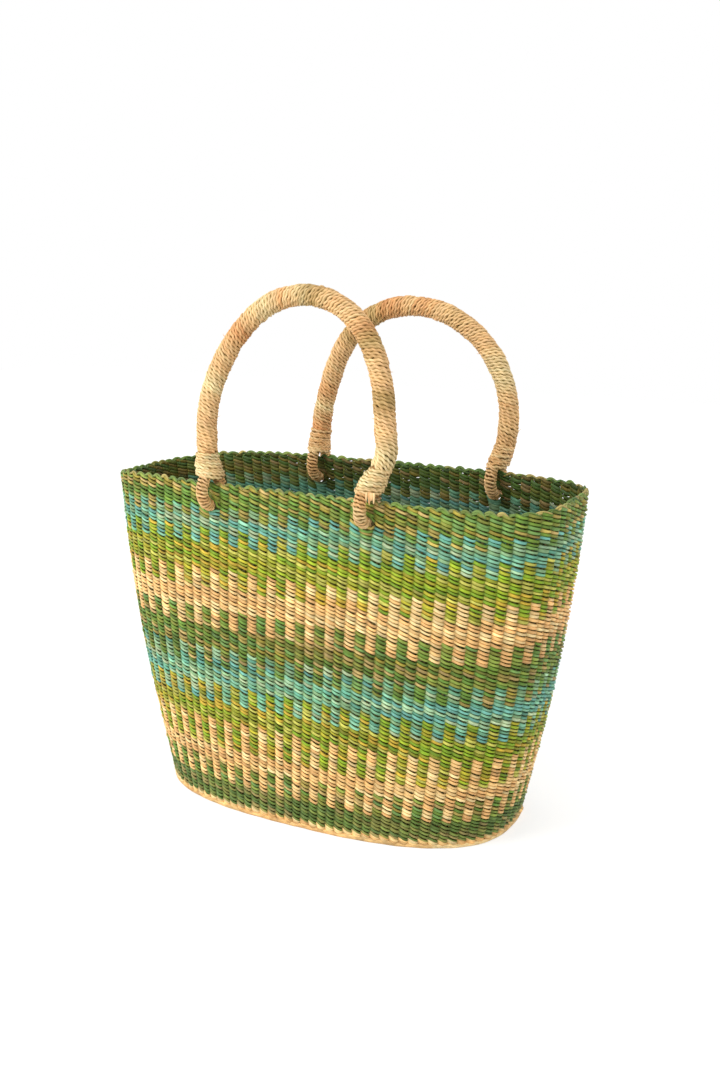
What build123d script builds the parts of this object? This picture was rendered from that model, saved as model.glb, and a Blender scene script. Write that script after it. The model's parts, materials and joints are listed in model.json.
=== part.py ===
from build123d import *
from math import atan2, cos, pi, sin, sqrt
import os

# Woven market basket, millimetres. +Z up, +X along the long side, -Y the front wall.
# The origin is the middle of the underside. The wall is a sandwich: upright stakes
# between an outer and an inner layer of weaving strands.

# Outside of the wall, measured at the foot, half way up and at the rim
base_length, base_depth = 352.0, 192.0
middle_length, middle_depth = 412.0, 176.0
rim_length, rim_depth = 450.0, 150.0
wall_height = 308.0
base_squareness = 2.6      # superellipse exponent: 2 is an oval, large is a box
rim_squareness = 4.6

# Wall layers
outer_layer = 1.7
inner_layer = 1.5
stake_thickness = 1.6
stake_clearance = 0.6      # each side of a stake, where the strands cross it
stake_count = 104
border_height = 3.4        # stake ends folded over along the rim
layer_clearance = 0.1

# Base
base_thickness = 5.0
base_hollow = 1.5          # the middle of the base stands this far off the ground
base_seat_width = 14.0     # width of the flat ring that the basket stands on

# Colour bands from the rim down: name and number of woven rows
row_height = 3.35
bands = [
    ("band_01_green", 6), ("band_02_teal_green_stripe", 3), ("band_03_teal", 3),
    ("band_04_teal_lime_stripe", 4), ("band_05_lime", 7), ("band_06_straw_lime_stripe", 5),
    ("band_07_straw", 6), ("band_08_straw_green_stripe", 5), ("band_09_green", 6),
    ("band_10_teal_green_stripe", 5), ("band_11_teal", 5), ("band_12_teal_lime_stripe", 5),
    ("band_13_lime", 5), ("band_14_straw_lime_stripe", 8), ("band_15_straw", 4),
    ("band_16_straw_green_stripe", 6), ("band_17_dark_green", 6),
]

# Handles: a wrapped rope arch on a whipping and a thin wrapped loop at each end
grip_radius = 9.2
grip_core_radius = 6.3
loop_cord_radius = 5.5
loop_core_radius = 3.4
loop_radius = 14.0         # loop centreline, from the swing axis to the cord
loop_neck_half_width = 11.2
whipping_gap = 2.0         # between the rim and the whipping
whipping_height = 24.0
whipping_bottom = (10.5, 16.0)   # half widths along X and Y
whipping_middle = (11.5, 14.0)
whipping_top_margin = 0.8
hole_clearance = 1.8

# The two arches are bent by hand and differ: side of the basket, place of the crown along X,
# lean in degrees towards the inside, lowest point of the loops below the rim, radius of the
# arch's top, its rope centre above the rim, and for the left and the right leg how far from
# the crown's middle and how high above the rim the arch is widest
handles = {
    "front_handle": dict(facing=-1, x=-9.0, lean=8.0, loop_tip_depth=28.0, crown_radius=74.0,
                         rise=166.0, legs=((94.0, 47.0), (83.0, 58.0))),
    "back_handle": dict(facing=1, x=28.0, lean=-5.0, loop_tip_depth=24.0, crown_radius=80.0,
                        rise=150.0, legs=((93.0, 9.0), (103.0, 48.0))),
}

outline_points = 48
stake_sections = 10
wall_thickness = outer_layer + stake_thickness + 2 * stake_clearance + inner_layer
wall_middle = outer_layer + stake_clearance + stake_thickness / 2


def through(base, middle, rim, t):
    """Value at height share t of the curve through base, middle and rim."""
    return base * (1 - t) * (1 - 2 * t) + middle * 4 * t * (1 - t) + rim * t * (2 * t - 1)


def outline_point(z, angle, inset=0.0):
    """Point of the wall's outline at height z, inset from its outside."""
    t = z / wall_height
    half_length = through(base_length, middle_length, rim_length, t) / 2 - inset
    half_depth = through(base_depth, middle_depth, rim_depth, t) / 2 - inset
    power = 2 / (base_squareness + (rim_squareness - base_squareness) * t)
    x = half_length * abs(cos(angle)) ** power * (1 if cos(angle) > 0 else -1)
    y = half_depth * abs(sin(angle)) ** power * (1 if sin(angle) > 0 else -1)
    return Vector(x, y, z)


def even_outline(z, inset, count, start=0.0):
    """Points spaced evenly round the outline, counted from the +X end."""
    steps = 1440
    fine = [outline_point(z, 2 * pi * i / steps, inset) for i in range(steps + 1)]
    lengths = [0.0]
    for before, after in zip(fine, fine[1:]):
        lengths.append(lengths[-1] + (after - before).length)
    points, i = [], 0
    for k in range(count):
        wanted = lengths[-1] * (k + start) / count
        while lengths[i + 1] < wanted:
            i += 1
        share = (wanted - lengths[i]) / (lengths[i + 1] - lengths[i])
        points.append(fine[i] + (fine[i + 1] - fine[i]) * share)
    return points


def outline_wire(z, inset):
    """Closed smooth outline of the wall at height z."""
    return Wire([Spline(even_outline(z, inset, outline_points), periodic=True)])


def plug(z_low, z_high, inset):
    """Solid that fills the outline between two heights."""
    return Solid.make_loft([outline_wire(z_low, inset), outline_wire(z_high, inset)], ruled=True)


def ring(z_low, z_high, inset, thickness):
    """Closed ring of the wall between two heights."""
    return plug(z_low, z_high, inset) - plug(z_low, z_high, inset + thickness)


def tube(path, radius):
    """Round cord along a path."""
    start = Plane(origin=path @ 0, z_dir=path % 0)
    return sweep(start * Circle(radius), path=path)


def save(shape, name):
    solids = shape.solids()
    export_step(solids[0] if len(solids) == 1 else Compound(solids), f"parts/{name}.step")


def swing_depth(handle):
    """Swing axis below the rim."""
    return handle["loop_tip_depth"] - loop_radius - loop_cord_radius


# Handle frame: origin on the swing axis under the crown, +Z up the handle, +Y out of the
# basket. Heights above the rim become heights above the swing axis.
whipping_foot = max(swing_depth(handle) for handle in handles.values()) + whipping_gap
whipping_head = whipping_foot + whipping_height


def crown_centre(handle):
    return handle["rise"] + swing_depth(handle) - handle["crown_radius"]


def leg_arc(handle, side):
    """Radius, centre and centre height of the arc that runs from a foot into the crown."""
    half_span, height = handle["legs"][side > 0]
    height += swing_depth(handle)
    drop = crown_centre(handle) - height
    crown = handle["crown_radius"]
    radius = (half_span ** 2 + drop ** 2 - crown ** 2) / (2 * (half_span - crown))
    return radius, half_span - radius, height


def leg_x(handle, side, height):
    """Place of a leg along X at a height above the swing axis; side is -1 or 1."""
    radius, centre, centre_height = leg_arc(handle, side)
    return side * (centre + sqrt(radius ** 2 - (height - centre_height) ** 2))


def grip_path(handle):
    """Arch of three tangent arcs, from inside one whipping to inside the other."""
    foot = whipping_foot + whipping_height / 2
    arcs, meets, turns = [], [], []
    for side in (-1, 1):
        centre, height = leg_arc(handle, side)[1:]
        meet = atan2(crown_centre(handle) - height, -centre)
        meet_x = side * handle["crown_radius"] * cos(meet)
        meet_z = crown_centre(handle) + handle["crown_radius"] * sin(meet)
        between = (foot + meet_z) / 2
        points = [(leg_x(handle, side, foot), 0, foot), (leg_x(handle, side, between), 0, between),
                  (meet_x, 0, meet_z)]
        arcs.append(ThreePointArc(*(points if side < 0 else points[::-1])))
        meets.append((meet_x, 0, meet_z))
        turns.append(pi - meet if side < 0 else meet)
    half_way = (turns[0] + turns[1]) / 2
    middle = (handle["crown_radius"] * cos(half_way), 0,
              crown_centre(handle) + handle["crown_radius"] * sin(half_way))
    crown = ThreePointArc(meets[0], middle, meets[1])
    return Wire([arcs[0], crown, arcs[1]])


def loop_path(x):
    """Loop in the YZ plane: half circle through the wall, sides closing to the whipping."""
    closing = loop_radius - loop_neck_half_width
    radius = (whipping_foot ** 2 + closing ** 2) / (2 * closing)
    centre = loop_radius - radius
    top = whipping_foot + loop_cord_radius
    top_y = centre + sqrt(radius ** 2 - top ** 2)
    side_y = centre + sqrt(radius ** 2 - (top / 2) ** 2)
    near = ThreePointArc((x, -top_y, top), (x, -side_y, top / 2), (x, -loop_radius, 0))
    bottom = ThreePointArc((x, -loop_radius, 0), (x, 0, -loop_radius), (x, loop_radius, 0))
    far = ThreePointArc((x, loop_radius, 0), (x, side_y, top / 2), (x, top_y, top))
    return Wire([near, bottom, far])


def whipping(handle, side):
    """Lump of windings that joins a loop to the grip."""
    heights = [whipping_foot, whipping_foot + whipping_height * 0.4, whipping_head]
    top = grip_radius + whipping_top_margin
    sizes = [whipping_bottom, whipping_middle, (top, top)]
    sections = []
    for height, (half_x, half_y) in zip(heights, sizes):
        plane = Plane(origin=(leg_x(handle, side, height), 0, height), x_dir=(0, 1, 0),
                      z_dir=(0, 0, 1))
        sections.append((plane * Ellipse(half_y, half_x)).wire())
    return Solid.make_loft(sections)


def swing_axis(handle):
    """Point of the swing axis under the crown, in the middle of the wall."""
    height = wall_height - swing_depth(handle)
    return Vector(handle["x"], handle["facing"] * outline_point(height, pi / 2, wall_middle).Y, height)


def place_handle(name, handle):
    """Builds one handle and puts it on its wall."""
    turn = Pos(swing_axis(handle)) * Rot(X=handle["facing"] * handle["lean"])
    ends = {"left": whipping(handle, -1), "right": whipping(handle, 1)}
    both = Compound(list(ends.values()))
    arch = grip_path(handle)
    core = tube(arch, grip_core_radius)
    wrap = tube(arch, grip_radius) - tube(arch, grip_core_radius + layer_clearance)
    save(turn * (core - both), f"{name}_grip_core")
    save(turn * (wrap - both), f"{name}_grip_wrap")
    for end, side in (("left", -1), ("right", 1)):
        path = loop_path(leg_x(handle, side, whipping_foot))
        loop_core = tube(path, loop_core_radius) - ends[end]
        loop_wrap = (tube(path, loop_cord_radius) - tube(path, loop_core_radius + layer_clearance)
                     - ends[end])
        save(turn * ends[end], f"{name}_{end}_whipping")
        save(turn * loop_core, f"{name}_{end}_loop_core")
        save(turn * loop_wrap, f"{name}_{end}_loop_wrap")


def loop_holes():
    """Cylinders along Y that open the wall for the four loops."""
    radius = loop_cord_radius + hole_clearance
    cutters = []
    for handle in handles.values():
        for side in (-1, 1):
            place = Pos(swing_axis(handle) + Vector(leg_x(handle, side, whipping_foot), 0, -loop_radius))
            cutters.append(place * Rot(X=90) * Cylinder(radius, 6 * wall_thickness))
    return Compound(cutters)


def stake(k):
    """One upright from the base to the border, bent to the wall's curve."""
    sections = []
    low = base_thickness + layer_clearance
    high = wall_height - border_height
    half = stake_thickness / 2
    for i in range(stake_sections):
        z = low + (high - low) * i / (stake_sections - 1)
        centre = middle_rows[i][k]
        along = (middle_rows[i][(k + 1) % stake_count] - middle_rows[i][k - 1]).normalized() * half
        across = Vector(along.Y, -along.X, 0)
        corners = [centre + along + across, centre - along + across,
                   centre - along - across, centre + along - across]
        sections.append(Wire(Polyline(*corners, close=True).edges()))
    return Solid.make_loft(sections, ruled=True)


os.makedirs("parts", exist_ok=True)
holes = loop_holes()
lowest_hole = wall_height - max(h["loop_tip_depth"] for h in handles.values()) - loop_cord_radius

# Outer layer of each colour band, from the rim down
top = wall_height - border_height
for name, rows in bands:
    bottom = top - rows * row_height
    band = ring(bottom, top, 0, outer_layer)
    if top > lowest_hole:
        band = band - holes
    save(band, name)
    top = bottom

# Foot rows, border, inner layer and base
foot_top = top
save(ring(0, foot_top, 0, outer_layer), "foot_rows_straw")
save(ring(wall_height - border_height, wall_height, 0, wall_thickness), "rim_border")
inner_inset = wall_thickness - inner_layer
save(ring(base_thickness, wall_height - border_height, inner_inset, inner_layer) - holes,
     "inner_weave")
base = plug(0, base_thickness, outer_layer + layer_clearance)
hollow_outline = outline_wire(0, outer_layer + base_seat_width)
base = base - extrude(Face(hollow_outline), base_hollow, dir=(0, 0, 1))
save(base, "base_mat")

# Stakes, in one node
middle_rows = []
for i in range(stake_sections):
    z = base_thickness + layer_clearance
    z += (wall_height - border_height - z) * i / (stake_sections - 1)
    middle_rows.append(even_outline(z, wall_middle, stake_count, start=0.5))
stakes = []
for k in range(stake_count):
    upright = stake(k)
    near_hole = any((middle_rows[-1][k] - cutter.center()).length < 3 * loop_radius
                    for cutter in holes.solids())
    stakes += (upright - holes).solids() if near_hole else [upright]
save(Compound(stakes), "wall_stakes")

for name, handle in handles.items():
    place_handle(name, handle)
    print(name, "swing axis", [round(v, 3) for v in swing_axis(handle)])
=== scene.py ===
import bpy
import json
import math
import numpy as np
from mathutils import Matrix, Vector


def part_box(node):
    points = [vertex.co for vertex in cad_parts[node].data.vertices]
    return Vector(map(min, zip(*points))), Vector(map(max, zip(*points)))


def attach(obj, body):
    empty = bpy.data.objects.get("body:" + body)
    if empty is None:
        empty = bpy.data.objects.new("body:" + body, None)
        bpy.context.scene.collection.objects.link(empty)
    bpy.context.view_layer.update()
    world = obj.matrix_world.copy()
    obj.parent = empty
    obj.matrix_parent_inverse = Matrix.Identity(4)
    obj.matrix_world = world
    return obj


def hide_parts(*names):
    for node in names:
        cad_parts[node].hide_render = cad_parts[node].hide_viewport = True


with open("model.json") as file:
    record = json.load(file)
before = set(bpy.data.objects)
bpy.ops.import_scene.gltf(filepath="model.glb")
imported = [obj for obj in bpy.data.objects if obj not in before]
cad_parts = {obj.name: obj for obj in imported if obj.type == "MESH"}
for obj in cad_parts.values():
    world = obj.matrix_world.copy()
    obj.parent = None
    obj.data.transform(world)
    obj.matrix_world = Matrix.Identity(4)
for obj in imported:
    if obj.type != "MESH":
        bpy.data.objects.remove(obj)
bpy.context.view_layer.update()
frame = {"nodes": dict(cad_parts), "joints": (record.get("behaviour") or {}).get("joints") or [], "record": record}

mm = 0.001       # sizes below are in millimetres


# Strands and cords: tubes gathered in one mesh, each with its own colour and fibre direction

# Painted shade, in grooves, along strand sides and at stroke ends, is tinted brown rather than grey
paintedShadeTint = np.array([1.0, 1.0, 1.4])       # creases and ends turn brown rather than grey


# Screen colour 0-255 to scene colour
def linear(colour):
    c = np.asarray(colour, float) / 255
    return np.where(c <= 0.04045, c / 12.92, ((c + 0.055) / 1.055) ** 2.4)


def unit(v):
    return v / np.linalg.norm(v, axis=-1, keepdims=True)


class Bundle:
    def __init__(self):
        self.points, self.colours, self.faces, self.maps = [], [], [], []
        self.count = 0

    # A strand along centres, halfOut thick to its facing side and halfAcross thick to the other.
    # lobe and twist make it two plies; edge paints shade along its long sides and the last factor paints shade in
    # the groove between plies
    def tube(self, centres, facing, halfOut, halfAcross, colours, closed=False, sides=6, lobe=0.0,
             twist=None, edge=0.0, grooveShade=0.0):
        if closed:
            along = np.roll(centres, -1, 0) - np.roll(centres, 1, 0)
        else:
            along = np.gradient(centres, axis=0)
        along = unit(along)
        out = unit(facing - along * (facing * along).sum(1, keepdims=True))
        across = np.cross(along, out)
        rings = len(centres)
        turn = np.arange(sides) * 2 * np.pi / sides + np.pi / sides
        halfOut = np.broadcast_to(halfOut, rings)[:, None]
        halfAcross = np.broadcast_to(halfAcross, rings)[:, None]
        swell = 1.0
        if lobe:
            swell = 1 + lobe * np.cos(2 * (turn[None, :] - twist[:, None]))
        a = (halfOut * swell * np.cos(turn))[:, :, None]
        b = (halfAcross * swell * np.sin(turn))[:, :, None]
        points = centres[:, None, :] + out[:, None, :] * a + across[:, None, :] * b
        steps = rings if closed else rings - 1
        i = np.arange(steps)[:, None]
        j = np.arange(sides)[None, :]
        iNext, jNext = (i + 1) % rings, (j + 1) % sides
        quads = np.stack([i * sides + j, i * sides + jNext, iNext * sides + jNext, iNext * sides + j], -1)
        step = np.linalg.norm(np.roll(centres, -1, 0) - centres, axis=1)
        run = np.concatenate([[0], np.cumsum(step)])
        u0, u1 = run[:steps][:, None] + 0 * j, run[1:steps + 1][:, None] + 0 * j
        v0, v1 = j / sides + 0 * i, (j + 1) / sides + 0 * i
        uv = np.stack([np.stack([u0, v0], -1), np.stack([u0, v1], -1),
                       np.stack([u1, v1], -1), np.stack([u1, v0], -1)], 2)
        self.faces.append(quads.reshape(-1, 4) + self.count)
        self.maps.append(uv.reshape(-1, 4, 2))
        if not closed:
            first = np.arange(sides)[::-1][None, :]
            last = np.arange(sides)[None, :] + (rings - 1) * sides
            for cap in (first, last):
                self.faces.append(cap + self.count)
                self.maps.append(np.zeros((1, sides, 2)))
        self.points.append(points.reshape(-1, 3))
        # Painted shade: darker towards the long sides, and in the groove between plies
        tone = np.ones((rings, sides)) * (1 - edge * np.abs(np.sin(turn)) ** 3)[None, :]
        if lobe:
            tone = tone * (1 - grooveShade * (0.5 - 0.5 * np.cos(2 * (turn[None, :] - twist[:, None]))))
        shade = np.broadcast_to(colours, (rings, 3))[:, None, :] * tone[:, :, None] ** paintedShadeTint
        self.colours.append(shade.reshape(-1, 3))
        self.count += rings * sides

    # The finished mesh object, in metres
    def build(self, name, material):
        points = np.concatenate(self.points) * mm
        colours = np.concatenate(self.colours)
        corners = np.concatenate([f.reshape(-1) for f in self.faces])
        widths = np.concatenate([np.full(len(f), f.shape[1]) for f in self.faces])
        starts = np.concatenate([[0], np.cumsum(widths)[:-1]])
        uv = np.concatenate([m.reshape(-1, 2) for m in self.maps])
        mesh = bpy.data.meshes.new(name)
        mesh.vertices.add(len(points))
        mesh.vertices.foreach_set("co", points.reshape(-1))
        mesh.loops.add(len(corners))
        mesh.loops.foreach_set("vertex_index", corners.astype(np.int32))
        mesh.polygons.add(len(starts))
        mesh.polygons.foreach_set("loop_start", starts.astype(np.int32))
        layer = mesh.uv_layers.new(name="strandMap")
        layer.data.foreach_set("uv", uv.reshape(-1))
        tint = mesh.color_attributes.new("strandColour", "FLOAT_COLOR", "POINT")
        rgba = np.concatenate([colours, np.ones((len(colours), 1))], 1)
        tint.data.foreach_set("color", rgba.reshape(-1))
        mesh.update(calc_edges=True)
        mesh.validate()
        mesh.shade_smooth()
        mesh.materials.append(material)
        piece = bpy.data.objects.new(name, mesh)
        bpy.context.scene.collection.objects.link(piece)
        return piece


# Dried, dyed leaf fibre: colour from the strand, streaks along it
def strandMaterial(name, look):
    material = bpy.data.materials.new(name)
    material.use_nodes = True
    nodes, links = material.node_tree.nodes, material.node_tree.links
    shader = nodes["Principled BSDF"]
    shader.inputs["Roughness"].default_value = look["roughness"]
    shader.inputs["Specular IOR Level"].default_value = look["specular"]
    tint = nodes.new("ShaderNodeAttribute")
    tint.attribute_name = "strandColour"
    place = nodes.new("ShaderNodeUVMap")
    place.uv_map = "strandMap"
    stretch = nodes.new("ShaderNodeMapping")
    stretch.inputs["Scale"].default_value = (look["fibreLength"], look["fibreCount"], 1)
    links.new(place.outputs["UV"], stretch.inputs["Vector"])
    fibres = nodes.new("ShaderNodeTexNoise")
    fibres.inputs["Scale"].default_value = 1.0
    fibres.inputs["Detail"].default_value = 3.0
    fibres.inputs["Roughness"].default_value = 0.6
    links.new(stretch.outputs["Vector"], fibres.inputs["Vector"])
    spots = nodes.new("ShaderNodeTexNoise")
    spots.inputs["Scale"].default_value = look["spotScale"]
    spots.inputs["Detail"].default_value = 2.0
    where = nodes.new("ShaderNodeTexCoord")
    links.new(where.outputs["Object"], spots.inputs["Vector"])
    streakShade = nodes.new("ShaderNodeMapRange")
    streakShade.inputs["From Min"].default_value = 0.25
    streakShade.inputs["From Max"].default_value = 0.75
    streakShade.inputs["To Min"].default_value = 1 - look["streak"]
    streakShade.inputs["To Max"].default_value = 1 + look["streak"]
    links.new(fibres.outputs["Fac"], streakShade.inputs["Value"])
    spotShade = nodes.new("ShaderNodeMapRange")
    spotShade.inputs["From Min"].default_value = 0.3
    spotShade.inputs["From Max"].default_value = 0.7
    spotShade.inputs["To Min"].default_value = 1 - look["spots"]
    spotShade.inputs["To Max"].default_value = 1 + look["spots"]
    links.new(spots.outputs["Fac"], spotShade.inputs["Value"])
    both = nodes.new("ShaderNodeMath")
    both.operation = "MULTIPLY"
    links.new(streakShade.outputs["Result"], both.inputs[0])
    links.new(spotShade.outputs["Result"], both.inputs[1])
    shade = nodes.new("ShaderNodeVectorMath")
    shade.operation = "SCALE"
    links.new(tint.outputs["Color"], shade.inputs[0])
    links.new(both.outputs["Value"], shade.inputs["Scale"])
    links.new(shade.outputs["Vector"], shader.inputs["Base Color"])
    relief = nodes.new("ShaderNodeBump")
    relief.inputs["Strength"].default_value = look["relief"]
    relief.inputs["Distance"].default_value = look["reliefDepth"] * mm
    links.new(fibres.outputs["Fac"], relief.inputs["Height"])
    links.new(relief.outputs["Normal"], shader.inputs["Normal"])
    return material


leafLook = {
    "roughness": 0.55, "specular": 0.35,
    "fibreLength": 0.16, "fibreCount": 7.0, "streak": 0.42,
    "spotScale": 90.0, "spots": 0.10,
    "relief": 0.6, "reliefDepth": 0.5,
}
cordLook = dict(leafLook, fibreLength=0.25, fibreCount=8.0, streak=0.16, roughness=0.6)

slotNames = [m["slot"] for m in frame["record"]["materials"]]
finishes = {slot: strandMaterial(slot, cordLook if slot.startswith(("handle", "whipping")) else leafLook)
            for slot in slotNames}


def finishPiece(bundle, name, slot, body, *replaced):
    piece = bundle.build(name, finishes[slot])
    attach(piece, body)
    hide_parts(*replaced)
    print("made", name, len(piece.data.polygons), "faces")
    return piece


# Camera
camera = {"azimuth": 27.5, "elevation": 13.8, "distance": 1140.0,
          "target": (18.3, 0.0, 249.8), "focalLength": 41.33}


def placeCamera():
    turn, rise = math.radians(camera["azimuth"]), math.radians(camera["elevation"])
    away = Vector((math.sin(turn) * math.cos(rise), -math.cos(turn) * math.cos(rise), math.sin(rise)))
    data = bpy.data.cameras.new("viewCamera")
    data.lens = camera["focalLength"]
    holder = bpy.data.objects.new("viewCamera", data)
    bpy.context.scene.collection.objects.link(holder)
    holder.location = (Vector(camera["target"]) + away * camera["distance"]) * mm
    holder.rotation_euler = away.to_track_quat("Z", "Y").to_euler()
    bpy.context.scene.camera = holder


placeCamera()
print("camera placed")


# The wall's shape, from the frame
wall = {
    "stakes": 104,
    "firstStake": 0.25,          # place of a stake beside the middle of the front, in stake gaps
    "rowHeight": 3.35,
    "footSquareness": 2.6, "rimSquareness": 4.6,
    "middleDepth": 3.1,          # from the outside to the middle of the stakes
    "stakeWander": 0.05,         # in stake gaps
    "rimWaves": [(1, 3.1, 2.3), (2, -2.1, 2.0), (3, 1.5, -0.8)],    # waves round, along X, along Y
    "dentDepth": 0.9, "dentScale": 2.6,
    # Waves round, start, slant and size of each dent
    "dents": [(3, 1.2, 0.013, 1.0), (7, 0.4, -0.021, 1.0), (13, 0.0, 0.03, 0.6)],
    "dentFade": 60.0,            # the foot keeps its shape below this height
}


def boxOf(node):
    low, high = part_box(node)
    return np.array(low) / mm, np.array(high) / mm


bandNames = sorted(n for n in frame["nodes"] if n.startswith("band_"))
ringBoxes = {n: boxOf(n) for n in bandNames + ["foot_rows_straw", "rim_border"]}
wallHeight = ringBoxes["rim_border"][1][2]
weaveTop = ringBoxes["rim_border"][0][2]
lengthCurve = np.polyfit([b[1][2] for b in ringBoxes.values()], [b[1][0] for b in ringBoxes.values()], 2)
depthCurve = np.polyfit([b[0][2] for b in ringBoxes.values()], [b[1][1] for b in ringBoxes.values()], 2)
wander = np.random.default_rng(7).normal(0, wall["stakeWander"], (5, wall["stakes"]))
outlineTurn = np.linspace(-np.pi / 2, 1.5 * np.pi, 1441)


# Fine closed outline at a height, from the middle of the front towards +X
def outline(height, inset):
    share = height / wallHeight
    power = 2 / (wall["footSquareness"] + (wall["rimSquareness"] - wall["footSquareness"]) * share)
    c, s = np.cos(outlineTurn), np.sin(outlineTurn)
    x = (np.polyval(lengthCurve, height) - inset) * np.sign(c) * np.abs(c) ** power
    y = (np.polyval(depthCurve, height) - inset) * np.sign(s) * np.abs(s) ** power
    lift = sum(a * np.cos(n * outlineTurn) + b * np.sin(n * outlineTurn) for n, a, b in wall["rimWaves"])
    z = height + lift * max(share, 0) ** 3
    return np.stack([x, y, z + 0 * x], 1)


# Point, up and out on the middle of the wall; places are in stake gaps round the wall
def wallFrame(height, places, inset=None):
    inset = wall["middleDepth"] if inset is None else inset
    here = outline(height, inset)
    rise = unit(outline(height + 1.5, inset) - outline(height - 1.5, inset))
    around = np.gradient(here, axis=0)
    around[0] = around[-1] = here[1] - here[-2]
    around = unit(around)
    rise = unit(rise - around * (rise * around).sum(1, keepdims=True))
    out = np.cross(around, rise)
    length = np.concatenate([[0], np.cumsum(np.linalg.norm(np.diff(here, axis=0), axis=1))])
    level = np.clip(height / wallHeight, 0, 1) * 4
    low = min(int(level), 3)
    shift = wander[low] * (1 - level + low) + wander[low + 1] * (level - low)
    knots = np.arange(-1, wall["stakes"] + 1)
    places = np.mod(places, wall["stakes"])
    moved = places + np.interp(places, knots, np.take(shift, knots, mode="wrap")) + wall["firstStake"]
    want = np.mod(moved / wall["stakes"], 1) * length[-1]

    def pick(values):
        return np.stack([np.interp(want, length, values[:, i]) for i in range(3)], 1)
    point, up, outward = pick(here), unit(pick(rise)), unit(pick(out))
    angle = want / length[-1] * 2 * np.pi
    dent = sum(size * np.sin(waves * angle + start + height * slant)
               for waves, start, slant, size in wall["dents"])
    dent = dent * wall["dentDepth"] / wall["dentScale"] * min(1, height / wall["dentFade"])
    return point + outward * dent[:, None], up, outward


loopHole = {"aboveLoopFoot": 5.5, "radius": 7.5, "stakeRadius": 8.7, "reach": 30.0}
loopHoles = []
for handleName in ("front_handle", "back_handle"):
    for end in ("left", "right"):
        low, high = boxOf(f"{handleName}_{end}_loop_wrap")
        loopHoles.append(((low[0] + high[0]) / 2, (low[1] + high[1]) / 2, low[2] + loopHole["aboveLoopFoot"]))


# Pushes strands aside where a handle loop goes through
def partForLoops(points, out, room=loopHole["radius"]):
    for hole in loopHoles:
        offset = points - np.array(hole)
        offset = offset - out * (offset * out).sum(1, keepdims=True)
        distance = np.linalg.norm(offset, axis=1)
        near = (distance < loopHole["reach"]) & (points[:, 1] * hole[1] > 0)
        pushed = (distance ** 3 + room ** 3) ** (1 / 3)
        move = offset / np.maximum(distance, 0.3)[:, None] * (pushed - distance)[:, None]
        points = points + move * near[:, None]
    return points


# Colours, as families of strands
leaf = {
    "green": [(120, 152, 54), (150, 170, 72), (168, 152, 58), (104, 134, 48), (184, 164, 84), (126, 166, 88),
              (154, 158, 66), (202, 174, 108), (138, 144, 58), (116, 156, 62)],
    "darkGreen": [(106, 132, 56), (126, 142, 66), (94, 120, 52), (140, 142, 70), (112, 136, 70),
                  (166, 152, 92)],
    "teal": [(126, 188, 150), (142, 204, 170), (104, 170, 144), (170, 208, 166), (116, 182, 168),
             (142, 180, 132), (182, 202, 160)],
    "lime": [(158, 180, 38), (184, 176, 46), (208, 176, 58), (136, 170, 38), (160, 164, 44), (202, 198, 90)],
    "straw": [(254, 214, 148), (255, 224, 162), (250, 198, 128), (254, 208, 138), (244, 190, 122)],
}
stroke = {                       # a stroke is one pass over a stake, in four samples
    "samples": 4,
    "outRadial": (0.26, 0.8, 1.0, 0.76),
    "outDrop": (1.35, 0.4, -0.45, -1.2), "inDrop": (-1.5, -1.15, -0.1, 0.95),
    "outHalf": (1.62, 1.42, 1.32, 1.2), "inHalf": (1.72, 1.75, 1.8, 1.75),
    "reach": 1.8, "thick": 0.9,
    # Painted shade: the edge factors darken each strand's long sides, and ends darkens each stroke towards its
    # ends, most where the strands cross
    "edge": {"straw": 0.25}, "otherEdgeShade": 0.4, "ends": (0.74, 1.0, 1.0, 0.94),
    # Painted shade: strands are darker where they pass inside the wall, by family
    "inside": {"teal": 0.5}, "otherInsideShade": 0.36,
    "reachSpread": 0.14, "heightSpread": 0.26, "widthSpread": 0.10, "toneSpread": 0.1,
    "leafRun": (2, 10),          # strokes made with one leaf, from and up to
}


# A colour for each stroke, changing every few strokes where a new leaf is laid in
def strokeColours(family, count, rng):
    colours = np.zeros((count, 3))
    i = 0
    while i < count:
        run = int(rng.integers(*stroke["leafRun"]))
        colours[i:i + run] = linear(family[rng.integers(len(family))]) * rng.normal(1, stroke["toneSpread"])
        i += run
    return colours * rng.normal(1, stroke["toneSpread"], (count, 1))


# How far out, how low and how wide a strand lies at each sample
def strandPath(outside, part):
    radial = np.take(stroke["outRadial"], part) * np.where(outside, 1, -1)
    drop = np.where(outside, np.take(stroke["outDrop"], part), np.take(stroke["inDrop"], part))
    half = np.where(outside, np.take(stroke["outHalf"], part), np.take(stroke["inHalf"], part))
    return radial, drop, half


# One twined row: two strands that change places between stakes
def weaveRow(bundle, height, families, rng, firstOutside=0, shade=1.0, edge=None, swell=1.0):
    count, samples = wall["stakes"], stroke["samples"]
    sample = np.arange(count * samples)
    stake, part = sample // samples, sample % samples
    places = stake + part / samples - 0.5
    point, up, out = wallFrame(height, places)
    for strand, family in enumerate(families):
        outside = (stake + strand + firstOutside) % 2 == 0
        radial, drop, half = strandPath(outside, part)
        further = rng.normal(1, stroke["reachSpread"], count)[stake]
        nudge = rng.normal(0, stroke["heightSpread"], count)[stake]
        plump = rng.normal(1, stroke["widthSpread"], count)[stake]
        centres = point + out * (radial * stroke["reach"] * swell * further)[:, None]
        centres += up * (drop + nudge)[:, None]
        centres = partForLoops(centres, out)
        # Painted shade: darker towards the stroke ends, and darker on passes inside the wall
        tone = np.take(stroke["ends"], part)[:, None] ** paintedShadeTint
        tone = tone * np.where(outside, shade, stroke["inside"].get(family, stroke["otherInsideShade"]))[:, None]
        colours = strokeColours(leaf[family], count, rng)[stake] * tone
        bundle.tube(centres, out, stroke["thick"], half * plump * swell, colours, closed=True,
                    edge=edge or stroke["edge"].get(family, stroke["otherEdgeShade"]))


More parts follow.
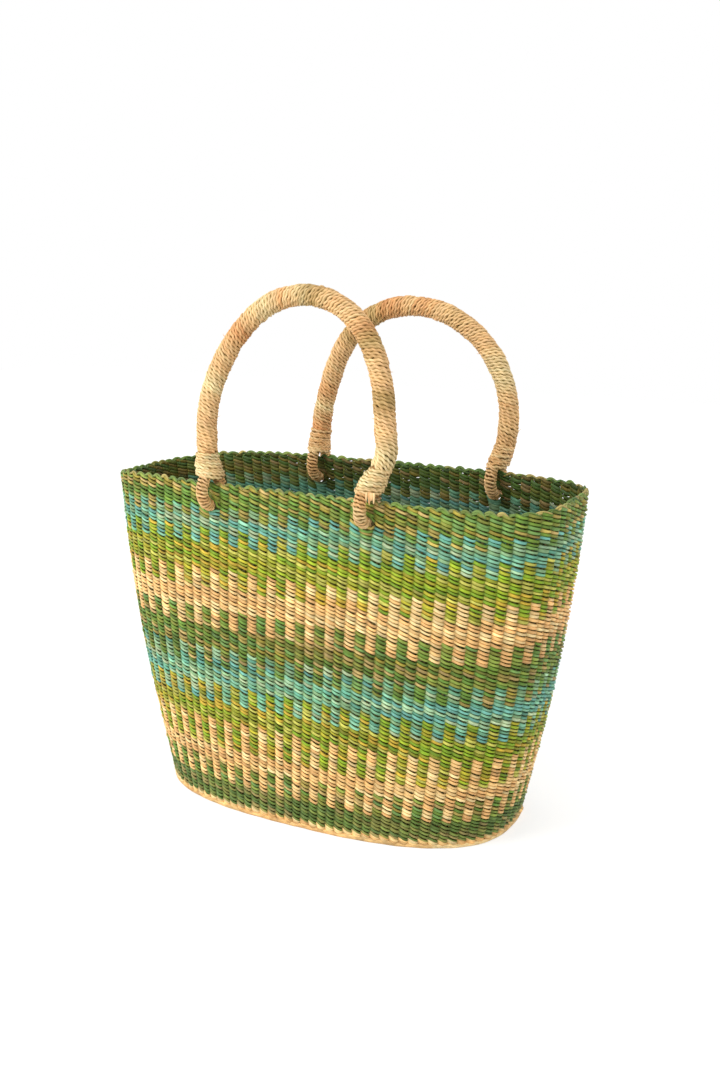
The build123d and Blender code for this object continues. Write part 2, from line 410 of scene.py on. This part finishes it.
# Bands of the wall, from the rim to the foot
bandColours = {                  # the two strands' families
    "green": ("green", "green"), "teal": ("teal", "teal"), "lime": ("lime", "lime"),
    "straw": ("straw", "straw"), "dark_green": ("darkGreen", "darkGreen"),
    "teal_green_stripe": ("green", "teal"), "teal_lime_stripe": ("lime", "teal"),
    "straw_lime_stripe": ("lime", "straw"), "straw_green_stripe": ("green", "straw"),
}
bandShade = {8: 0.92, 9: 0.84, 10: 0.9, 12: 0.96, 13: 0.95}
swappedBands = (12, 14, 16)      # bands whose stripes stand on the other stakes
slotOfNode = {s["node"]: s["material_slot"] for s in frame["record"]["subparts"]}


def weaveBand(node):
    number, kind = int(node[5:7]), node[8:]
    low, high = ringBoxes[node][0][2], ringBoxes[node][1][2]
    rows = round((high - low) / wall["rowHeight"])
    rng = np.random.default_rng(100 + number)
    shade = bandShade.get(number, 1.0)
    bundle = Bundle()
    for row in range(rows):
        height = low + (row + 0.5) * (high - low) / rows
        weaveRow(bundle, height, bandColours[kind], rng, int(number in swappedBands), shade)
    finishPiece(bundle, node + "_weave", slotOfNode[node], "basket", node, "inner_weave")


for node in bandNames:
    weaveBand(node)
print("bands woven")


# Stakes, foot rows and border
stakes = {"halfOut": 0.75, "halfAcross": 1.3, "colour": (84, 78, 36), "toneSpread": 0.15,
          "foot": 3.0, "step": 11.0, "loopStep": 3.0, "loopZone": 40.0}     # finer steps beside the loops


def buildStakes():
    bundle = Bundle()
    rng = np.random.default_rng(31)
    zoneFoot = weaveTop - stakes["loopZone"]
    heights = np.concatenate([np.arange(stakes["foot"], zoneFoot, stakes["step"]),
                              np.arange(zoneFoot, weaveTop + 1, stakes["loopStep"])])
    frames = [wallFrame(h, np.arange(wall["stakes"])) for h in heights]
    for k in range(wall["stakes"]):
        centres = np.stack([f[0][k] for f in frames])
        out = np.stack([f[2][k] for f in frames])
        centres = partForLoops(centres, out, loopHole["stakeRadius"])
        shade = linear(stakes["colour"]) * rng.normal(1, stakes["toneSpread"])
        bundle.tube(centres, out, stakes["halfOut"], stakes["halfAcross"], shade, sides=5)
    finishPiece(bundle, "upright_stakes", "stakes", "basket", "wall_stakes")


# The foot rows get painted shade along their strands' long sides
foot = {"rowHeights": (6.2, 4.7), "rowEdgeShade": 0.5, "rowSwell": 1.35,
        "ringHeight": 2.1, "ringHalfHeight": 2.1, "ringHalfOut": 1.6, "ringShade": 0.86,
        "rings": ((1.6, 0.0), (4.3, -0.1))}          # depth in the wall and lift, outer ring first


# Two rings of straw under two twined natural rows
def buildFoot():
    bundle = Bundle()
    rng = np.random.default_rng(41)
    for swapped, height in enumerate(foot["rowHeights"]):
        weaveRow(bundle, height, ("straw", "straw"), rng, firstOutside=swapped, edge=foot["rowEdgeShade"],
                 swell=foot["rowSwell"])
    samples = stroke["samples"]
    places = np.arange(wall["stakes"] * samples) / samples
    for inset, lift in foot["rings"]:
        point, up, out = wallFrame(foot["ringHeight"] + lift, places, inset)
        wave = 0.15 * np.sin(places * 2.1) + 0.12 * np.sin(places * 0.83 + inset - 0.7)
        colours = np.repeat(strokeColours(leaf["straw"], wall["stakes"], rng), samples, axis=0)
        colours = colours * foot["ringShade"]
        bundle.tube(point + up * wave[:, None], out, foot["ringHalfOut"], foot["ringHalfHeight"], colours,
                    closed=True, sides=8)
    finishPiece(bundle, "foot_rows", slotOfNode["foot_rows_straw"], "basket", "foot_rows_straw",
                "inner_weave")


border = {
    "colours": [(96, 128, 58), (118, 144, 70), (132, 150, 74), (84, 116, 54), (146, 150, 84), (108, 134, 64),
                (124, 140, 62), (176, 160, 92)] + leaf["darkGreen"],
    "halfOut": 0.95, "halfAcross": 1.05, "toneSpread": 0.1,
    "size": (0.7, 0.9, 1.0, 0.95, 0.9, 0.9, 0.85, 0.75, 0.5),      # along a fold
    "start": -0.18, "length": 1.35,                                # of a fold, in stake gaps
    "foot": -1.5, "height": 2.8, "fromInside": -1.6, "across": 4.0,
    "lengthSpread": 0.09, "heightSpread": 0.2,
}


# Each stake end is folded over its neighbour and tucked in beside the next one
def buildBorder():
    bundle = Bundle()
    rng = np.random.default_rng(51)
    size = np.array(border["size"])
    share = np.linspace(0, 1, len(size))
    run = border["start"] + border["length"] * share
    rise = border["foot"] + border["height"] * np.sin(np.pi * np.clip(share * 1.05, 0, 1)) - 0.6 * share
    side = border["fromInside"] + border["across"] * share - 0.6 * np.sin(np.pi * share)
    for k in range(wall["stakes"]):
        stretch, lift = rng.normal(1, border["lengthSpread"]), rng.normal(1, border["heightSpread"])
        point, up, out = wallFrame(weaveTop, k + run * stretch)
        centres = point + up * (rise * lift + 0.4)[:, None] + out * side[:, None]
        tone = border["colours"][rng.integers(len(border["colours"]))]
        shade = linear(tone) * rng.normal(1, border["toneSpread"])
        fade = np.linspace(1.15, 0.85, len(share))[:, None]
        bundle.tube(centres, out, border["halfOut"] * size, border["halfAcross"] * size * lift, shade * fade)
        inner = point + up * (rise * 0.8 - 0.6)[:, None] - out * (side * 0.9 + 0.3)[:, None]
        bundle.tube(inner, out, border["halfOut"] * size, border["halfAcross"] * size,
                    shade * rng.normal(0.95, 0.1))
    finishPiece(bundle, "folded_border", "border_green", "basket", "rim_border")


buildStakes()
buildFoot()
buildBorder()


# Base: twined rows round and round to a straight middle seam
base = {
    "rowPitch": 3.35, "firstInset": 6.5, "lastInset": 2.0, "stakeGap": 20.5, "fewestStakes": 12,
    "seatHeight": 2.4, "middleHeight": 3.9, "seatWidth": 14.0, "riseWidth": 12.0,
    "reach": 1.35, "thick": 0.85, "reachSpread": 0.08,
    "seamShift": 1.4, "seamWave": 0.5, "seamTurn": 0.3, "seamHalfHeight": 1.2, "seamHalfWidth": 1.7,
}


def buildBase():
    bundle = Bundle()
    rng = np.random.default_rng(61)
    halfDepth = np.polyval(depthCurve, 0)
    samples = stroke["samples"]
    inset = base["firstInset"]
    while inset < halfDepth - base["lastInset"]:
        ring = outline(0, inset)[:-1]
        length = np.linalg.norm(np.diff(ring, axis=0, append=ring[:1]), axis=1)
        run = np.concatenate([[0], np.cumsum(length)])
        count = max(base["fewestStakes"], 2 * round(run[-1] / base["stakeGap"]))
        sample = np.arange(count * samples)
        stake, part = sample // samples, sample % samples
        want = (stake + part / samples) / count * run[-1]
        closedRing = np.concatenate([ring, ring[:1]])
        point = np.stack([np.interp(want, run, closedRing[:, i]) for i in range(2)], 1)
        rise = np.clip((inset - base["seatWidth"]) / base["riseWidth"], 0, 1)
        level = base["seatHeight"] + (base["middleHeight"] - base["seatHeight"]) * rise
        point = np.column_stack([point, np.full(len(point), level)])
        ahead = unit(np.roll(point, -1, 0) - np.roll(point, 1, 0))
        down = np.tile([0.0, 0.0, -1.0], (len(point), 1))
        inward = np.cross(ahead, down)
        for strand in range(2):
            outside = (stake + strand) % 2 == 0
            radial, drop, half = strandPath(outside, part)
            further = rng.normal(1, base["reachSpread"], count)[stake]
            centres = point + down * (radial * base["reach"] * further)[:, None] + inward * drop[:, None]
            colours = strokeColours(leaf["straw"], count, rng)[stake]
            bundle.tube(centres, down, base["thick"], half, colours, closed=True, sides=5)
        inset += base["rowPitch"]
    halfLength = np.polyval(lengthCurve, 0) - halfDepth + 6
    x = np.linspace(-halfLength, halfLength, 60)
    for shift in (-base["seamShift"], base["seamShift"]):
        height = base["middleHeight"] + base["seamWave"] * np.sin(x * base["seamTurn"])
        seam = np.column_stack([x, shift * np.cos(x * base["seamTurn"]), height])
        bundle.tube(seam, np.tile([0.0, 0.0, -1.0], (len(x), 1)), base["seamHalfHeight"],
                    base["seamHalfWidth"], linear(leaf["straw"][2]), sides=6)
    finishPiece(bundle, "twined_base", "base_straw", "basket", "base_mat")


buildBase()


# Handles: all in the handle's own frame, with heights from the swing axis, then stood on that axis
handle = {
    "whippingFoot": 10.5, "whippingHead": 34.5,
    "gripRadius": 9.2, "gripCord": 1.6, "gripStarts": 7, "gripPitch": 2.95,
    "gripWobble": 0.7, "gripLumps": 0.22, "frays": 34,
    "loopRadius": 14.0, "loopNeck": 11.2, "loopCordRadius": 5.5, "loopCord": 1.3, "loopPitch": 2.8,
    "loopStarts": 2, "loopLumps": 0.12,
}
# The cords' groove and edge factors are painted shade between plies and along each cord's sides
ply = {"turn": 5.8, "lobe": 0.3, "grooveShade": 0.24, "edge": 0.62}       # two plies twisted into each cord
bends = {        # legs: half span and height of the widest point, left then right
    "front_handle": {"facing": -1, "lean": 8.0, "crownRadius": 74.0, "crownCentre": 100.5,
                     "legs": ((94.0, 55.5), (83.0, 66.5)), "kinks": (0.0, 5.5)},
    "back_handle": {"facing": 1, "lean": -5.0, "crownRadius": 80.0, "crownCentre": 74.5,
                    "legs": ((93.0, 13.5), (103.0, 52.5)), "kinks": (0.0, 0.0)},
}
kink = {"height": 44.0, "spread": 16.0}       # where a leg bulges out above its winding
cord = {
    "natural": [(252, 204, 146), (255, 216, 160), (246, 192, 132), (253, 206, 152)],
    "cream": [(255, 224, 168), (253, 216, 160), (255, 232, 180)],
    "tan": [(240, 178, 118), (230, 160, 102), (246, 190, 132)],
    "olive": [(200, 164, 104), (182, 146, 86), (218, 182, 122)],
}
cordTone = 0.06
sections = {     # what the arch is wound with, by share of its length from the left
    "front_handle": [(0.0, "natural"), (0.14, "cream"), (0.20, "natural"), (0.28, "tan"), (0.33, "natural"),
                     (0.37, "cream"), (0.43, "tan"), (0.47, "cream"), (0.51, "olive"), (0.545, "natural"),
                     (0.665, "tan"), (0.695, "olive"), (0.735, "natural"), (0.83, "olive"), (0.87, "natural"),
                     (0.93, "cream")],
    "back_handle": [(0.0, "tan"), (0.04, "cream"), (0.09, "tan"), (0.13, "natural"), (0.27, "olive"),
                    (0.30, "tan"), (0.35, "olive"), (0.40, "tan"), (0.47, "natural"), (0.51, "tan"),
                    (0.55, "natural"), (0.62, "olive"), (0.635, "natural"), (0.76, "cream"),
                    (0.86, "natural")],
}


# Matrix from a handle's frame to the basket, with heights from the swing axis
def placeOnAxis(name):
    joint = next(j for j in frame["joints"] if j["child"] == name)
    pivot = Vector(joint["pos_m"]) / mm
    tilt = Matrix.Rotation(math.radians(bends[name]["facing"] * bends[name]["lean"]), 4, "X")
    return np.array(Matrix.Translation(pivot) @ tilt)


def stand(points, matrix):
    return points @ matrix[:3, :3].T + matrix[:3, 3]


def turnOnly(vectors, matrix):
    return vectors @ matrix[:3, :3].T


# Radius, centre along X and centre height of the arc from a foot into the crown
def legArc(bend, side):
    halfSpan, height = bend["legs"][side > 0]
    drop = bend["crownCentre"] - height
    radius = (halfSpan ** 2 + drop ** 2 - bend["crownRadius"] ** 2) / (2 * (halfSpan - bend["crownRadius"]))
    return radius, halfSpan - radius, height


# How far a leg bulges out above its winding
def bulge(bend, side, height):
    return bend["kinks"][side > 0] * np.exp(-((height - kink["height"]) / kink["spread"]) ** 2)


# Place of a leg along X at a height
def legX(bend, side, height):
    radius, centre, middle = legArc(bend, side)
    return side * (centre + math.sqrt(radius ** 2 - (height - middle) ** 2) + bulge(bend, side, height))


# Even points along the middle of the grip, from the left whipping to the right
def archLine(bend, steps=1200):
    runs, meets = [], []
    for side in (-1, 1):
        radius, centre, middle = legArc(bend, side)
        meet = math.atan2(bend["crownCentre"] - middle, -centre)
        legFoot = math.asin((handle["whippingHead"] - 2 - middle) / radius)
        turn = np.linspace(legFoot, meet, 400)
        height = middle + radius * np.sin(turn)
        run = np.column_stack([side * (centre + radius * np.cos(turn) + bulge(bend, side, height)), 0 * turn,
                               height])
        runs.append(run if side < 0 else run[::-1])
        meets.append(math.pi - meet if side < 0 else meet)
    top = np.linspace(meets[0], meets[1], 600)
    crown = np.column_stack([bend["crownRadius"] * np.cos(top), 0 * top,
                             bend["crownCentre"] + bend["crownRadius"] * np.sin(top)])
    return evenLine(np.concatenate([runs[0][:-1], crown, runs[1][1:]]), steps)


# The same line in even steps, and its length
def evenLine(line, steps):
    run = np.concatenate([[0], np.cumsum(np.linalg.norm(np.diff(line, axis=0), axis=1))])
    want = np.linspace(0, run[-1], steps)
    return np.stack([np.interp(want, run, line[:, i]) for i in range(3)], 1), run[-1]


# Values that wander round a middle, from count random knots
def knotted(share, count, rng, middle, spread):
    return np.interp(share, np.linspace(0, 1, count), rng.normal(middle, spread, count))


# Winds two-ply cords side by side round a line; radius may change along the line
def wind(bundle, matrix, line, length, radius, thick, pitch, starts, colourAt, rng,
         reference=(0.0, 1.0, 0.0)):
    lead = pitch * starts
    turns = length / lead
    cordLength = turns * math.hypot(2 * np.pi * np.mean(radius), lead)
    rings = int(cordLength / ply["turn"] * 6)
    share = np.linspace(0, 1, rings)
    index = share * (len(line) - 1)
    place = np.stack([np.interp(index, np.arange(len(line)), line[:, i]) for i in range(3)], 1)
    along = unit(np.gradient(place, axis=0))
    first = np.tile(reference, (rings, 1))
    first = unit(first - along * (first * along).sum(1, keepdims=True))
    second = np.cross(along, first)
    size = np.interp(share, np.linspace(0, 1, len(radius)), radius)
    for start in range(starts):
        angle = -(share * turns + start / starts) * 2 * np.pi
        uneven = knotted(share, 160, rng, 0, 0.2)
        slide = knotted(share, 220, rng, 0, 0.24)
        facing = first * np.cos(angle)[:, None] + second * np.sin(angle)[:, None]
        centres = place + facing * (size + uneven)[:, None] + along * slide[:, None]
        twist = (share * cordLength / ply["turn"] + knotted(share, 90, rng, 0, 0.18)) * np.pi + start * 1.3
        width = thick * knotted(share, 90, rng, 1, 0.07)
        colours = colourAt(share, rng)
        bundle.tube(stand(centres, matrix), turnOnly(unit(facing), matrix), width, width, colours,
                    sides=8, lobe=ply["lobe"], twist=twist, grooveShade=ply["grooveShade"], edge=ply["edge"])


# Colours blurred along a cord
def softened(colours, width):
    kernel = np.ones(width) / width
    padded = np.pad(colours, ((width, width), (0, 0)), mode="edge")
    return np.stack([np.convolve(padded[:, i], kernel, "same") for i in range(3)], 1)[width:-width]


# Colours of the grip's cord, section by section and patch by patch
def archColours(name):
    starts = np.array([s[0] for s in sections[name]])
    kinds = [s[1] for s in sections[name]]

    def colourAt(share, rng):
        jitter = knotted(share, 30, rng, 0, 0.008)
        part = np.searchsorted(starts, np.clip(share + jitter, 0, 1), side="right") - 1
        colours = np.zeros((len(share), 3))
        patchCount = 70
        patches = (share * patchCount).astype(int)
        pick = rng.integers(0, 1000, patchCount + 2)
        shade = rng.normal(1, cordTone, patchCount + 2)
        for i, kind in enumerate(kinds):
            family = np.array([linear(c) for c in cord[kind]])
            rows = part == i
            colours[rows] = family[pick[patches[rows]] % len(family)] * shade[patches[rows], None]
        return softened(colours, 41)
    return colourAt


def plainColours(kind, patchCount):
    def colourAt(share, rng):
        family = np.array([linear(c) for c in cord[kind]])
        patches = (share * patchCount).astype(int)
        pick = rng.integers(0, len(family), patchCount + 1)
        shade = rng.normal(1, cordTone, patchCount + 1)
        return family[pick[patches]] * shade[patches, None]
    return colourAt


fray = {"reach": (1.2, 3.2), "slide": 3.5, "thick": (0.34, 0.32, 0.28, 0.2, 0.08)}


# A few loose ends of fibre that stand off a winding
def addFrays(bundle, matrix, line, radius, count, kind, rng):
    thin = np.array(fray["thick"])
    for k in range(count):
        at = int(rng.uniform(0.02, 0.98) * (len(line) - 2))
        along = unit(line[at + 1] - line[at])
        first = unit(np.array([0.0, 1.0, 0.0]) - along * along[1])
        turn = rng.uniform(0, 2 * np.pi)
        facing = first * math.cos(turn) + np.cross(along, first) * math.sin(turn)
        reach, slide = rng.uniform(*fray["reach"]), rng.uniform(-fray["slide"], fray["slide"])
        share = np.linspace(0, 1, len(thin))[:, None]
        centres = line[at] + facing * (radius - 0.4 + reach * share) + along * slide * share ** 2
        shade = linear(cord[kind][rng.integers(len(cord[kind]))])
        side = np.tile(np.cross(along, facing), (len(thin), 1))
        bundle.tube(stand(centres, matrix), turnOnly(side, matrix), thin, thin, shade, sides=4)


def buildGrip(name, matrix, rng):
    line, length = archLine(bends[name])
    radius = handle["gripRadius"] - handle["gripCord"] + rng.normal(0, handle["gripLumps"], 26)
    wobble = knotted(np.linspace(0, 1, len(line)), 15, rng, 0, handle["gripWobble"])
    line = line + np.column_stack([0 * wobble, wobble, 0 * wobble])
    bundle = Bundle()
    wind(bundle, matrix, line, length, radius, handle["gripCord"], handle["gripPitch"], handle["gripStarts"],
         archColours(name), rng)
    addFrays(bundle, matrix, line, handle["gripRadius"], handle["frays"], "natural", rng)
    finishPiece(bundle, f"{name}_grip_winding", "handle_cord", name, f"{name}_grip_wrap", f"{name}_grip_core")


whipping = {
    "turns": 9, "samples": 96, "cord": 1.5, "lumps": 0.4, "tip": 0.8,
    "colours": {"front_handle": "cream", "back_handle": "natural"},
    # Half widths along X and Y at the foot, at 40 % of the height and at the head
    "widths": {"front_handle": ((11.8, 16.0), (11.2, 14.0), (9.4, 9.8)),
               "back_handle": ((9.6, 16.0), (9.6, 14.0), (9.2, 9.8))},
    "stemInset": 2.2, "stemColour": (176, 130, 80),
}
tuft = {"ends": 6, "start": 4.0, "gap": 1.6, "lengths": (6.5, 11.0),
        "thick": (1.15, 1.2075, 1.15, 1.035, 0.8625, 0.345)}


# Loose ends that hang below a whipping, side by side from a first place
def addTuft(bundle, matrix, first, rng):
    thin = np.array(tuft["thick"])
    drop = np.linspace(0, 1, len(thin))
    for k in range(tuft["ends"]):
        reach = rng.uniform(*tuft["lengths"])
        ends = np.column_stack([first[0] + k * tuft["gap"] + drop * rng.uniform(-0.5, 1.5),
                                first[1] + rng.uniform(-0.6, 0.8) + drop * rng.uniform(-0.4, 1.0),
                                first[2] - drop * reach])
        facing = np.tile([0.0, -1.0, 0.0], (len(thin), 1))
        shade = linear(cord["natural"][k % len(cord["natural"])])
        bundle.tube(stand(ends, matrix), turnOnly(facing, matrix), thin, thin, shade, sides=6, edge=0.4)


# Cord wound round and round over the ends of the loop and the grip
def buildWhipping(name, end, side, matrix, rng):
    low, high = handle["whippingFoot"], handle["whippingHead"]
    bend, turns, thick = bends[name], whipping["turns"], whipping["cord"]
    share = np.linspace(0, 1, turns * whipping["samples"])
    height = low + thick + (high - low - 2 * thick) * share
    widthsX, widthsY = zip(*whipping["widths"][name])
    lumps = knotted(share, 70, rng, 0, whipping["lumps"])
    halfX = np.interp(share, (0, 0.4, 1), widthsX) - thick + lumps
    halfY = np.interp(share, (0, 0.4, 1), widthsY) - thick + lumps
    angle = -share * turns * 2 * np.pi
    x = np.array([legX(bend, side, h) for h in height])
    facing = np.column_stack([np.cos(angle), np.sin(angle), 0 * angle])
    tip = whipping["tip"] * np.cos(angle)          # turns lie a little lower on the right
    centres = np.column_stack([x, 0 * x, height + lumps - tip])
    centres += facing * np.column_stack([halfX, halfY, 0 * halfX])
    bundle = Bundle()
    colours = plainColours(whipping["colours"][name], 40)(share, rng)
    run = np.concatenate([[0], np.cumsum(np.linalg.norm(np.diff(centres, axis=0), axis=1))])
    width = thick * knotted(share, 60, rng, 1, 0.09)
    bundle.tube(stand(centres, matrix), turnOnly(facing, matrix), width, width, colours, sides=8,
                lobe=ply["lobe"], twist=run / ply["turn"] * np.pi, grooveShade=ply["grooveShade"], edge=ply["edge"])
    stem = np.linspace(low + 1.5, high - 1.5, 8)
    line = np.column_stack([[legX(bend, side, h) for h in stem], 0 * stem, stem])
    depths = np.interp(stem, (low, low + 10, high), widthsY) - whipping["stemInset"]
    widths = np.interp(stem, (low, low + 10, high), widthsX) - whipping["stemInset"]
    facing = np.tile([0.0, 1.0, 0.0], (len(stem), 1))
    bundle.tube(stand(line, matrix), turnOnly(facing, matrix), depths, widths, linear(whipping["stemColour"]),
                sides=14)
    if name == "front_handle" and side > 0:
        first = (line[0, 0] + tuft["start"], whipping["stemInset"] - widthsY[0], low + 2.5)
        addTuft(bundle, matrix, first, rng)
    node = f"{name}_{end}_whipping"
    finishPiece(bundle, f"{node}_turns", "whipping_straw", name, node)


# Half a ring round the swing axis, closing to a neck inside the whipping
def buildLoop(name, end, side, matrix, rng):
    closing = handle["loopRadius"] - handle["loopNeck"]
    neck = handle["whippingFoot"]
    legRadius = (neck ** 2 + closing ** 2) / (2 * closing)
    rise = np.linspace(0, neck + 3, 40)
    legY = handle["loopRadius"] - legRadius + np.sqrt(legRadius ** 2 - rise ** 2)
    half = np.linspace(0, -np.pi, 120)
    y = np.concatenate([legY[::-1], handle["loopRadius"] * np.cos(half[1:-1]), -legY])
    z = np.concatenate([rise[::-1], handle["loopRadius"] * np.sin(half[1:-1]), rise])
    x = np.full(len(y), legX(bends[name], side, neck))
    line, length = evenLine(np.column_stack([x, y, z]), 300)
    radius = handle["loopCordRadius"] - handle["loopCord"] + rng.normal(0, handle["loopLumps"], 12)
    bundle = Bundle()
    wind(bundle, matrix, line, length, radius, handle["loopCord"], handle["loopPitch"], handle["loopStarts"],
         plainColours("natural", 18), rng, reference=(1.0, 0.0, 0.0))
    node = f"{name}_{end}_loop"
    finishPiece(bundle, f"{node}_winding", "handle_cord", name, f"{node}_wrap", f"{node}_core")


def buildHandle(name, seed):
    rng = np.random.default_rng(seed)
    matrix = placeOnAxis(name)
    buildGrip(name, matrix, rng)
    for end, side in (("left", -1), ("right", 1)):
        buildWhipping(name, end, side, matrix, rng)
        buildLoop(name, end, side, matrix, rng)


buildHandle("front_handle", 71)
buildHandle("back_handle", 81)
print("handles wound")


# Light and floor
studio = {
    "world": 0.96, "key": 17.5, "keySize": 900.0, "keyPlace": (-900, -1300, 1300), "keyAim": (0, 0, 200),
    "floorSize": 6000.0, "floorColour": 0.8, "floorSeen": 0.5, "floorGlow": 0.62,
}


# Camera rays, and the glossy and transmitted rays that metal and glass would send, as one factor
def seenRays(nodes, links):
    rays = nodes.new("ShaderNodeLightPath")
    seen = rays.outputs["Is Camera Ray"]
    for kind in ("Is Glossy Ray", "Is Transmission Ray"):
        either = nodes.new("ShaderNodeMath")
        either.operation = "MAXIMUM"
        links.new(seen, either.inputs[0])
        links.new(rays.outputs[kind], either.inputs[1])
        seen = either.outputs["Value"]
    return seen


def buildStudio():
    world = bpy.data.worlds.new("softStudio")
    bpy.context.scene.world = world
    world.use_nodes = True
    nodes, links = world.node_tree.nodes, world.node_tree.links
    nodes["Background"].inputs["Color"].default_value = (1, 1, 1, 1)
    nodes["Background"].inputs["Strength"].default_value = studio["world"]
    seen = nodes.new("ShaderNodeBackground")
    seen.inputs["Color"].default_value = (1, 1, 1, 1)
    seen.inputs["Strength"].default_value = 1.0
    mix = nodes.new("ShaderNodeMixShader")
    links.new(seenRays(nodes, links), mix.inputs["Fac"])
    links.new(nodes["Background"].outputs["Background"], mix.inputs[1])
    links.new(seen.outputs["Background"], mix.inputs[2])
    links.new(mix.outputs["Shader"], nodes["World Output"].inputs["Surface"])
    data = bpy.data.lights.new("softKey", "AREA")
    data.energy = studio["key"]
    data.size = studio["keySize"] * mm
    lamp = bpy.data.objects.new("softKey", data)
    bpy.context.scene.collection.objects.link(lamp)
    lamp.location = Vector(studio["keyPlace"]) * mm
    aim = Vector(studio["keyAim"]) * mm - lamp.location
    lamp.rotation_euler = aim.to_track_quat("-Z", "Y").to_euler()
    bpy.ops.object.select_all(action="DESELECT")
    bpy.ops.mesh.primitive_plane_add(size=studio["floorSize"] * mm, location=(0, 0, 0))
    floor = bpy.context.object
    floor.name = "studioFloor"
    pale = bpy.data.materials.new("paleFloor")
    pale.use_nodes = True
    nodes, links = pale.node_tree.nodes, pale.node_tree.links
    shader = nodes["Principled BSDF"]
    shader.inputs["Base Color"].default_value = (*[studio["floorColour"]] * 3, 1)
    shader.inputs["Roughness"].default_value = 0.9
    shader.inputs["Specular IOR Level"].default_value = 0.0
    half = nodes.new("ShaderNodeBsdfDiffuse")       # half lit and half glowing, so shadows stay soft
    half.inputs["Color"].default_value = (*[studio["floorSeen"]] * 3, 1)
    glow = nodes.new("ShaderNodeEmission")
    glow.inputs["Strength"].default_value = studio["floorGlow"]
    shown = nodes.new("ShaderNodeAddShader")
    links.new(half.outputs["BSDF"], shown.inputs[0])
    links.new(glow.outputs["Emission"], shown.inputs[1])
    mix = nodes.new("ShaderNodeMixShader")
    links.new(seenRays(nodes, links), mix.inputs["Fac"])
    links.new(shader.outputs["BSDF"], mix.inputs[1])
    links.new(shown.outputs["Shader"], mix.inputs[2])
    links.new(mix.outputs["Shader"], nodes["Material Output"].inputs["Surface"])
    floor.data.materials.append(pale)


buildStudio()
print("studio lit")
bpy.context.scene.view_settings.view_transform = "Standard"
